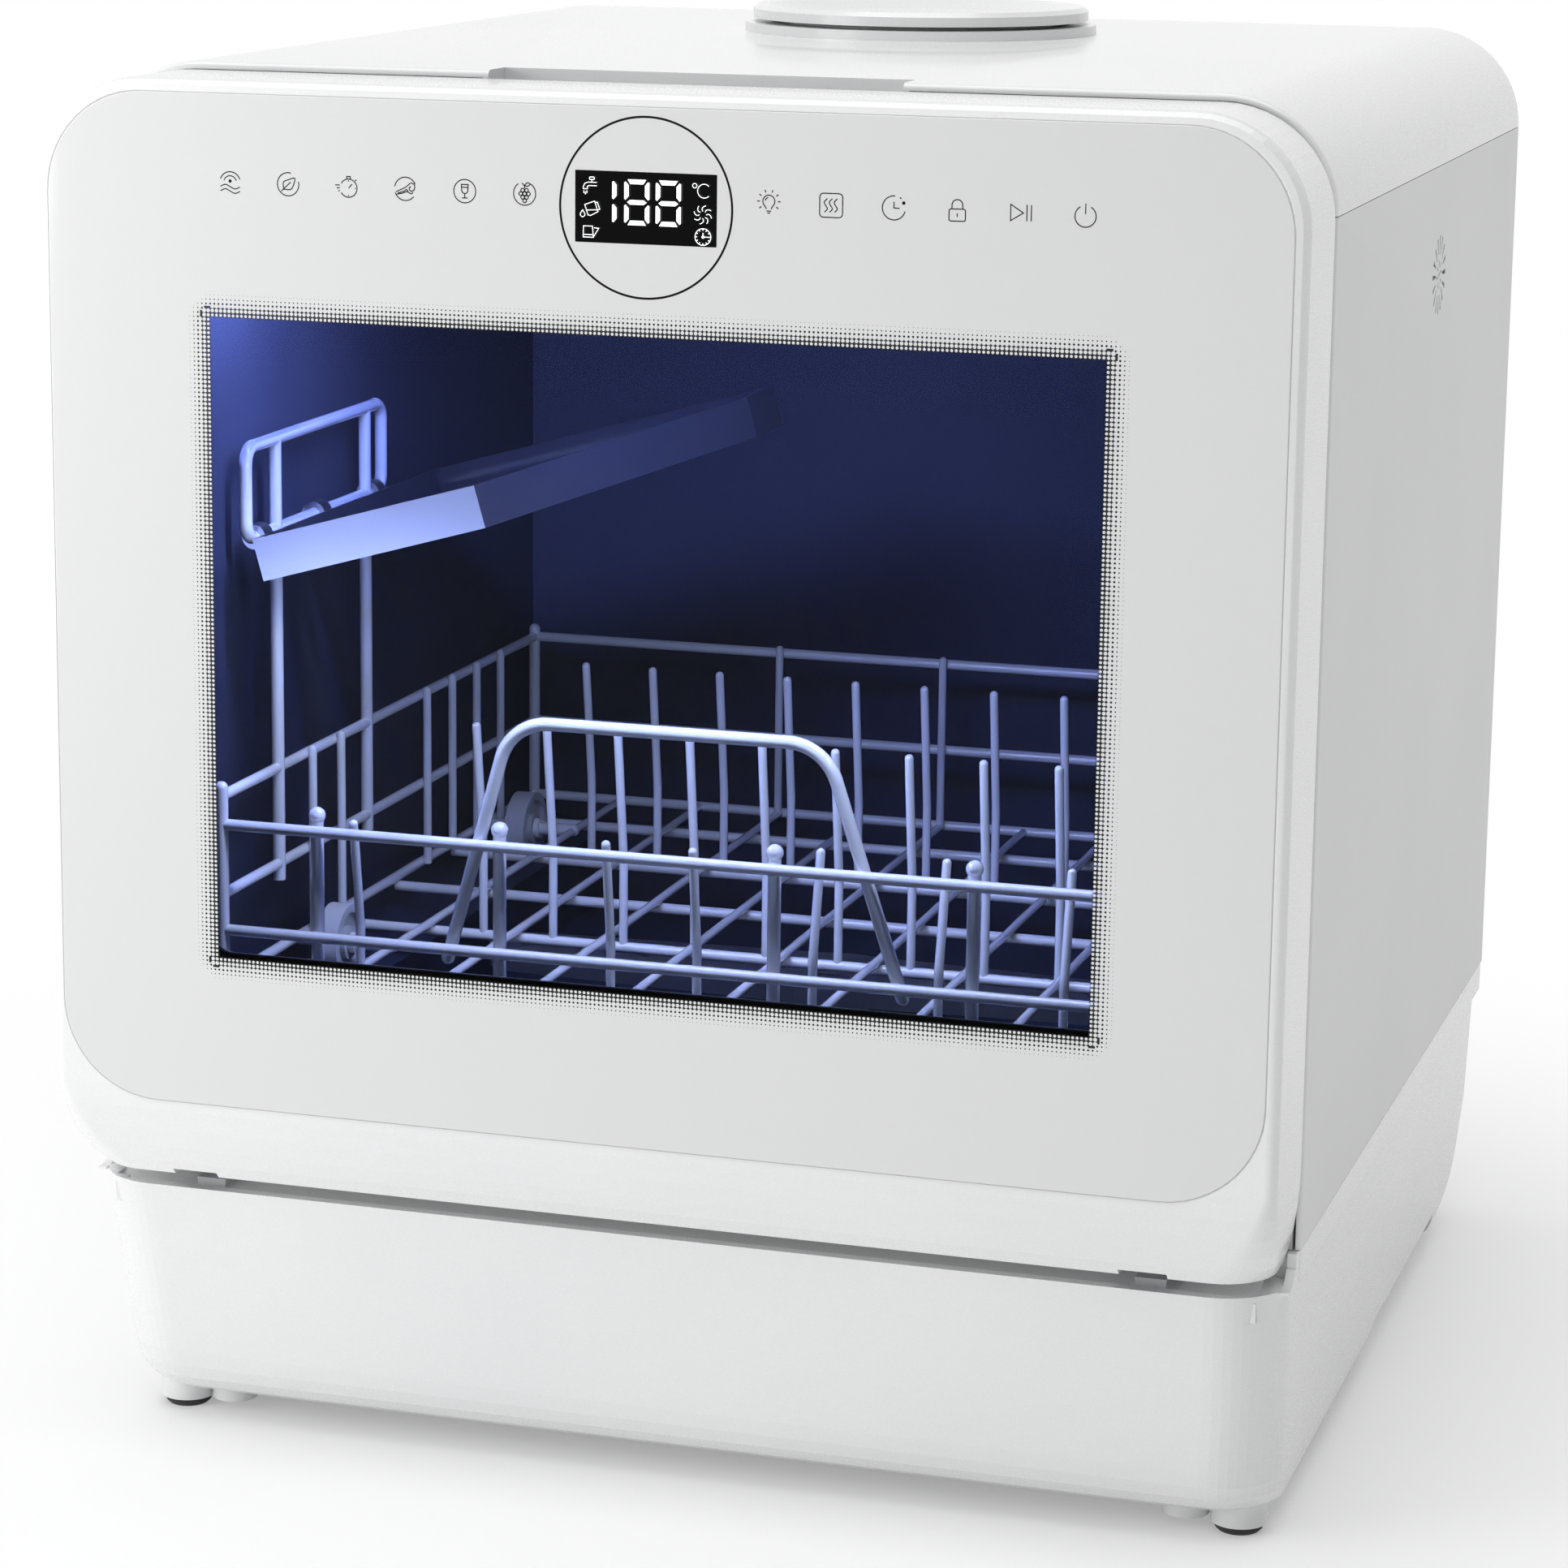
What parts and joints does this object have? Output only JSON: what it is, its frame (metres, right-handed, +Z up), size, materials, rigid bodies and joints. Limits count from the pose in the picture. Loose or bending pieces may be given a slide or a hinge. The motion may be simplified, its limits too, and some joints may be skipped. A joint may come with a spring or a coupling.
{
  "type": "countertop dishwasher",
  "caption": "Compact table-top dishwasher: white box with a drop-down glass door, touch controls and display, wire basket on rollers, spray arm, filter and a top lid for filling by hand.",
  "frame": {"origin": "centre of the bounding box at the floor, on the four foot pads", "axes": "+X to the right seen from the front, +Y to the rear, +Z up; the door's face is at -Y"},
  "size_m": [0.42, 0.46, 0.485],
  "materials": {
    "white_shell": "satin",
    "white_panel": "satin",
    "white_inner": "matt",
    "printed_glass": "gloss",
    "clear_glass": "gloss",
    "dark_rubber": "matt",
    "grey_rubber": "matt",
    "tub_plastic": "matt",
    "blue_lens": "gloss",
    "steel": "brushed",
    "dark_plastic": "matt",
    "grey_plastic": "matt",
    "board_green": "matt",
    "coated_wire": "satin",
    "display_black": "gloss"
  },
  "bodies": {
    "casing": {"base_tray": "white_shell", "foot_pads": "dark_rubber", "side_panel_left": "white_panel", "side_panel_right": "white_panel", "top_cover": "white_shell", "rear_panel": "white_panel", "front_frame": "white_inner", "rear_screws": "steel", "door_seal": "grey_rubber", "hinge_arm_left": "steel", "hinge_arm_right": "steel", "latch_case": "dark_plastic", "tub": "tub_plastic", "lamp_housing": "white_inner", "lamp_lens": "blue_lens", "spray_hub": "grey_plastic", "filter_plate": "steel", "sump": "grey_plastic", "fill_funnel": "white_inner", "water_tank": "grey_plastic", "wash_pump": "dark_plastic", "drain_pump": "dark_plastic", "heater": "steel", "pump_pipes": "dark_plastic", "fan_housing": "dark_plastic", "power_board": "board_green", "water_inlet": "white_inner", "drain_spigot": "white_inner", "cord_gland": "dark_rubber"},
    "door": {"door_frame": "white_shell", "door_glass": "printed_glass", "inner_glass": "clear_glass", "inner_glass_seal": "grey_rubber", "door_liner": "white_inner", "display_module": "display_black", "touch_board": "board_green", "touch_springs": "steel", "latch_striker": "steel", "detergent_cup": "white_inner", "hinge_block_left": "steel", "hinge_block_right": "steel", "hinge_pins": "steel"},
    "basket": {"basket_front_rails": "coated_wire", "basket_side_rails": "coated_wire", "basket_back_rails": "coated_wire", "basket_floor": "coated_wire", "basket_tines": "coated_wire", "plate_hoop": "coated_wire", "shelf_uprights": "coated_wire", "roller_axles": "coated_wire"},
    "roller_front_left": {"roller_front_left": "grey_plastic"},
    "roller_front_right": {"roller_front_right": "grey_plastic"},
    "roller_rear_left": {"roller_rear_left": "grey_plastic"},
    "roller_rear_right": {"roller_rear_right": "grey_plastic"},
    "cup_shelf": {"cup_shelf": "white_inner"},
    "spray_arm": {"spray_arm": "grey_plastic"},
    "filter_cup": {"filter_cup": "grey_plastic"},
    "fill_lid": {"fill_lid": "white_shell"},
    "fan_rotor": {"fan_rotor": "dark_plastic"}
  },
  "joints": [
    {"name": "door_hinge", "type": "hinge", "parent": "casing", "child": "door", "pos_m": [0, -0.216, 0.112], "axis": [1, 0, 0], "range_deg": [0, 90]},
    {"name": "basket_slide", "type": "slide", "parent": "casing", "child": "basket", "axis": [0, -1, 0], "range_m": [0, 0.074]},
    {"name": "roller_front_left_spin", "type": "hinge", "parent": "basket", "child": "roller_front_left", "pos_m": [-0.156, -0.105, 0.1563], "axis": [1, 0, 0], "range_deg": [0, 303]},
    {"name": "roller_front_right_spin", "type": "hinge", "parent": "basket", "child": "roller_front_right", "pos_m": [0.156, -0.105, 0.1563], "axis": [1, 0, 0], "range_deg": [0, 303]},
    {"name": "roller_rear_left_spin", "type": "hinge", "parent": "basket", "child": "roller_rear_left", "pos_m": [-0.156, 0.09, 0.1563], "axis": [1, 0, 0], "range_deg": [0, 303]},
    {"name": "roller_rear_right_spin", "type": "hinge", "parent": "basket", "child": "roller_rear_right", "pos_m": [0.156, 0.09, 0.1563], "axis": [1, 0, 0], "range_deg": [0, 303]},
    {"name": "cup_shelf_fold", "type": "hinge", "parent": "basket", "child": "cup_shelf", "pos_m": [-0.174, -0.08, 0.308], "axis": [0, -1, 0], "range_deg": [0, 42]},
    {"name": "spray_arm_spin", "type": "hinge", "parent": "casing", "child": "spray_arm", "pos_m": [0, -0.005, 0.131], "axis": [0, 0, 1], "continuous": true},
    {"name": "filter_twist", "type": "hinge", "parent": "casing", "child": "filter_cup", "pos_m": [0.074, -0.075, 0.114], "axis": [0, 0, 1], "range_deg": [0, 90]},
    {"name": "fill_lid_lift", "type": "slide", "parent": "casing", "child": "fill_lid", "axis": [0, 0, 1], "range_m": [0, 0.04]},
    {"name": "fan_spin", "type": "hinge", "parent": "casing", "child": "fan_rotor", "pos_m": [0.195, 0.025, 0.399], "axis": [1, 0, 0], "continuous": true}
  ],
  "couplings": [
    {"joint": "basket_slide", "follows": "door_hinge", "m_per_rad": 0.047},
    {"joint": "roller_front_left_spin", "follows": "door_hinge", "ratio": 3.3571},
    {"joint": "roller_front_right_spin", "follows": "door_hinge", "ratio": 3.3571},
    {"joint": "roller_rear_left_spin", "follows": "door_hinge", "ratio": 3.3571},
    {"joint": "roller_rear_right_spin", "follows": "door_hinge", "ratio": 3.3571}
  ]
}
